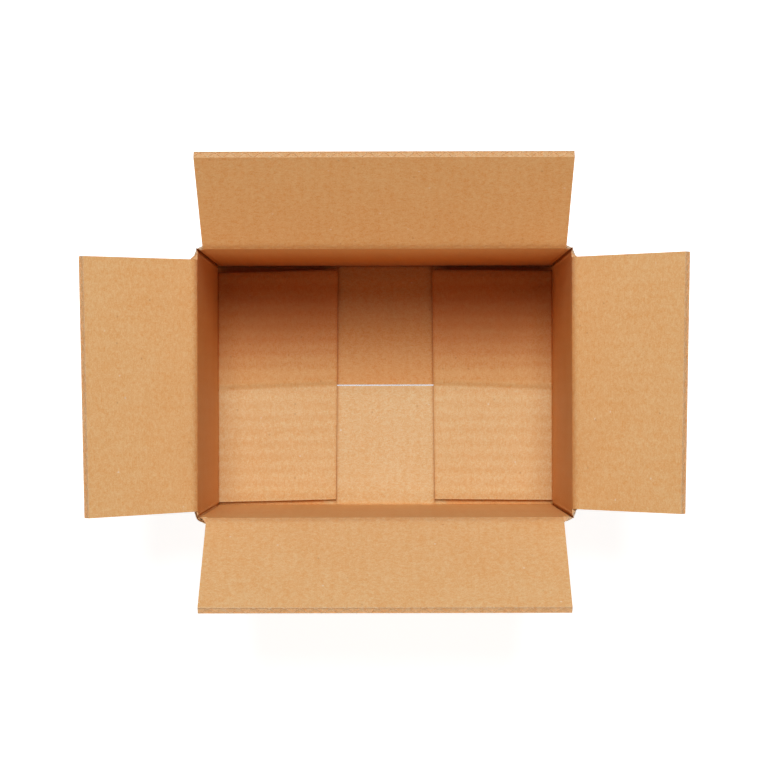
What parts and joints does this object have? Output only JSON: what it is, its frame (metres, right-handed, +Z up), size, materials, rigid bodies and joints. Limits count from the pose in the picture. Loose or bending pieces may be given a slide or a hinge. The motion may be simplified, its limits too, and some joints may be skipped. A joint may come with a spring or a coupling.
{
  "type": "open cardboard box",
  "caption": "Open corrugated shipping box with glued corner, taped bottom and hinged top flaps standing open.",
  "frame": {"origin": "under the middle of the box, on the surface it stands on", "axes": "+X along the box, +Y across it towards the back wall, +Z up through the opening"},
  "size_m": [0.3136, 0.2346, 0.2305],
  "materials": {
    "kraft_board": "uncoated kraft liner",
    "clear_tape": "clear, glossy"
  },
  "bodies": {
    "carton": {"box_body": "kraft_board", "bottom_tape": "clear_tape"},
    "front_lid": {"front_flap": "kraft_board"},
    "back_lid": {"back_flap": "kraft_board"},
    "left_lid": {"left_flap": "kraft_board"},
    "right_lid": {"right_flap": "kraft_board"}
  },
  "joints": [
    {"name": "front_flap_hinge", "type": "hinge", "parent": "carton", "child": "front_lid", "pos_m": [0, -0.0735, 0.16966], "axis": [1, 0, 0], "range_deg": [-125.2, 99.8]},
    {"name": "back_flap_hinge", "type": "hinge", "parent": "carton", "child": "back_lid", "pos_m": [0, 0.0735, 0.16966], "axis": [-1, 0, 0], "range_deg": [-125.2, 99.8]},
    {"name": "left_flap_hinge", "type": "hinge", "parent": "carton", "child": "left_lid", "pos_m": [-0.102, -0.0011, 0.16536], "axis": [0, -1, 0], "range_deg": [-135.5, 89.5]},
    {"name": "right_flap_hinge", "type": "hinge", "parent": "carton", "child": "right_lid", "pos_m": [0.102, -0.0001, 0.16536], "axis": [0, 1, 0], "range_deg": [-135.5, 89.5]}
  ]
}
